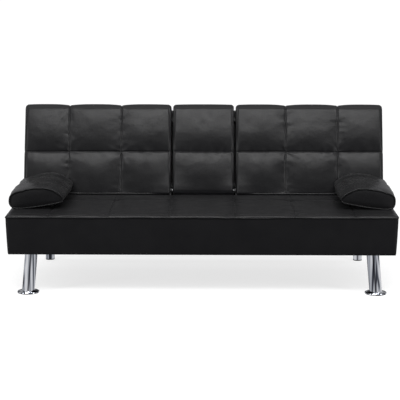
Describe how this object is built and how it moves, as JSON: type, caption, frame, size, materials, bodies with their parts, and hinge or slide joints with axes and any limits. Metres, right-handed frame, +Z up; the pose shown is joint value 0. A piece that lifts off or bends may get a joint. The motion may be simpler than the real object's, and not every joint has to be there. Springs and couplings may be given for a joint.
{
  "type": "futon sofa bed",
  "caption": "armless sofa with a reclining click-clack backrest, a fold-down middle console with cup holders, chrome legs and loose armrest pillows",
  "frame": {"origin": "on the floor, below the centre of the bounding box", "axes": "+X along the sofa to the right as seen from the front, +Y from front to back, +Z up"},
  "size_m": [1.66, 0.7718, 0.7477],
  "materials": {
    "black_leather": "smooth black faux leather with a fine grain and a soft sheen, stitched and quilted",
    "pillow_leather": "smooth black faux leather, loosely filled and creased",
    "black_lining": "matt black spun lining",
    "foam": "open-cell upholstery foam, out of sight",
    "timber": "sawn softwood, out of sight",
    "chrome": "polished chrome plate",
    "black_steel": "satin black powder coat",
    "zinc_steel": "zinc-plated pressed steel",
    "black_plastic": "moulded black plastic"
  },
  "bodies": {
    "base": {"front_leg_flange_left": "chrome", "front_leg_flange_right": "chrome", "front_leg_glide_left": "black_plastic", "front_leg_glide_right": "black_plastic", "front_leg_plate_left": "black_steel", "front_leg_plate_right": "black_steel", "front_leg_tube_left": "chrome", "front_leg_tube_right": "chrome", "hinge_pivot_bolt_left": "zinc_steel", "hinge_pivot_bolt_right": "zinc_steel", "hinge_seat_plate_left": "zinc_steel", "hinge_seat_plate_right": "zinc_steel", "pawl_pin_left": "zinc_steel", "pawl_pin_right": "zinc_steel", "pawl_spring_left": "zinc_steel", "pawl_spring_right": "zinc_steel", "rear_leg_cap_left": "black_plastic", "rear_leg_cap_right": "black_plastic", "rear_leg_tube_left": "chrome", "rear_leg_tube_right": "chrome", "seat_cover": "black_leather", "seat_dust_cover": "black_lining", "seat_end_rail_left": "timber", "seat_end_rail_right": "timber", "seat_foam": "foam", "seat_front_rail": "timber", "seat_middle_rail": "timber", "seat_rear_rail": "timber", "seat_springs": "zinc_steel", "support_arm_left": "black_steel", "support_arm_right": "black_steel", "support_crossbar": "black_steel"},
    "backrest": {"back_cover_left": "black_leather", "back_cover_right": "black_leather", "back_foam_left": "foam", "back_foam_right": "foam", "back_frame_left": "timber", "back_frame_right": "timber", "back_lower_crossbar": "black_steel", "back_rear_panel_left": "black_lining", "back_rear_panel_right": "black_lining", "back_upper_crossbar": "black_steel", "console_bay_panel": "black_leather", "console_pivot_pin_left": "zinc_steel", "console_pivot_pin_right": "zinc_steel", "hinge_back_plate_left": "zinc_steel", "hinge_back_plate_right": "zinc_steel"},
    "console": {"console_cover": "black_leather", "console_foam": "foam", "console_lower_board": "timber", "console_rear_panel": "black_lining", "console_side_board_left": "timber", "console_side_board_right": "timber", "console_upper_board": "timber", "cup_holder_left": "black_plastic", "cup_holder_right": "black_plastic"},
    "left_pawl": {"pawl_left": "zinc_steel"},
    "right_pawl": {"pawl_right": "zinc_steel"},
    "left_pillow": {"armrest_pillow_left": "pillow_leather"},
    "right_pillow": {"armrest_pillow_right": "pillow_leather"}
  },
  "joints": [
    {"name": "backrest_recline", "type": "hinge", "parent": "base", "child": "backrest", "pos_m": [0, 0.154, 0.333], "axis": [-1, 0, 0], "range_deg": [0, 72]},
    {"name": "console_fold", "type": "hinge", "parent": "backrest", "child": "console", "pos_m": [0, 0.16778, 0.36248], "axis": [1, 0, 0], "range_deg": [0, 108]},
    {"name": "pawl_lift_left", "type": "hinge", "parent": "base", "child": "left_pawl", "pos_m": [-0.797, 0.142, 0.284], "axis": [-1, 0, 0], "range_deg": [0, 18], "stiffness_Nm_per_rad": 0.05, "springref_deg": -17.19},
    {"name": "pawl_lift_right", "type": "hinge", "parent": "base", "child": "right_pawl", "pos_m": [0.797, 0.142, 0.284], "axis": [-1, 0, 0], "range_deg": [0, 18], "stiffness_Nm_per_rad": 0.05, "springref_deg": -17.19},
    {"name": "pillow_lift_left", "type": "slide", "parent": "base", "child": "left_pillow", "axis": [0, 0, 1], "range_m": [0, 0.08]},
    {"name": "pillow_lift_right", "type": "slide", "parent": "base", "child": "right_pillow", "axis": [0, 0, 1], "range_m": [0, 0.08]}
  ]
}
